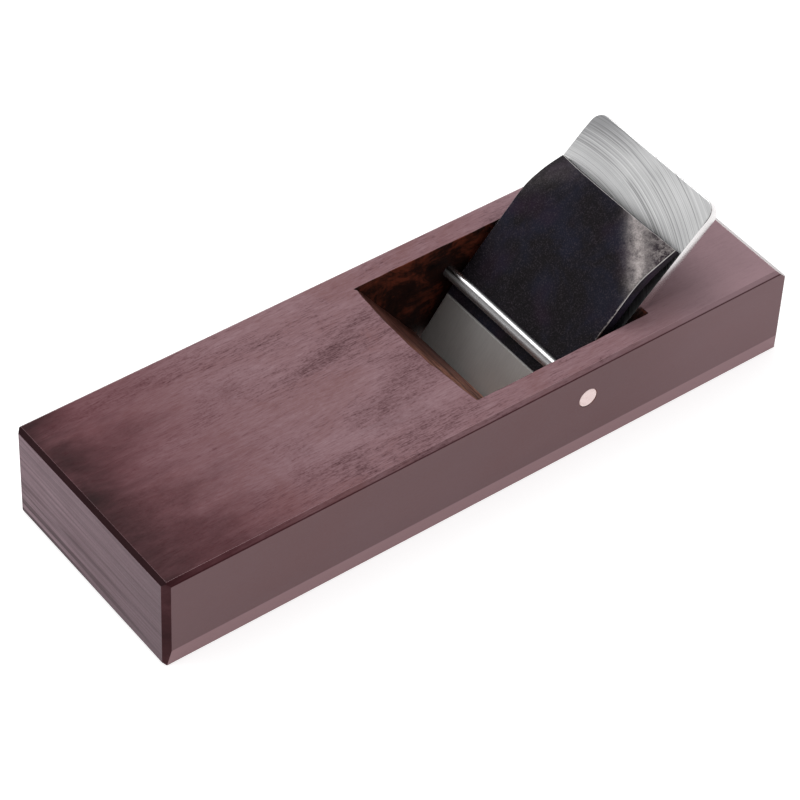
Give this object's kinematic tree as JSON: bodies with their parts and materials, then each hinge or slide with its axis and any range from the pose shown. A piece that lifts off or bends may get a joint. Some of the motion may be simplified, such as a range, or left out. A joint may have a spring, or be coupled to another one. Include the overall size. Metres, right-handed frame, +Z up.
{
  "type": "hand plane",
  "caption": "Low hardwood pull plane: rectangular block with an open throat, sloped iron, bent-eared chip breaker and a steel pressure bar across the throat.",
  "frame": {"origin": "centre of the sole, on the surface that the plane stands on", "axes": "+X along the block from the front end towards the heel, so the cutting edge faces -X; +Y across the block; +Z up from the sole"},
  "size_m": [0.186, 0.062, 0.0502],
  "materials": {
    "rosewood": "dense purple-brown hardwood, fine straight grain, satin",
    "bright_steel": "ground steel with arced grinding marks",
    "black_steel": "black forge scale with a blue-purple cast, nose ground bright",
    "polished_steel": "polished round bar",
    "pale_plug": "pale close-grained plug, satin"
  },
  "bodies": {
    "block": {"body": "rosewood", "pressure_bar": "polished_steel", "near_plug": "pale_plug", "far_plug": "pale_plug"},
    "iron": {"blade": "bright_steel"},
    "breaker": {"chip_breaker": "black_steel"}
  },
  "joints": [
    {"name": "iron_slide", "type": "slide", "parent": "block", "child": "iron", "axis": [0.7314, 0, 0.682], "range_m": [-0.0003, 0.034]},
    {"name": "breaker_slide", "type": "slide", "parent": "iron", "child": "breaker", "axis": [0.7314, 0, 0.682], "range_m": [-0.0003, 0.013]}
  ]
}
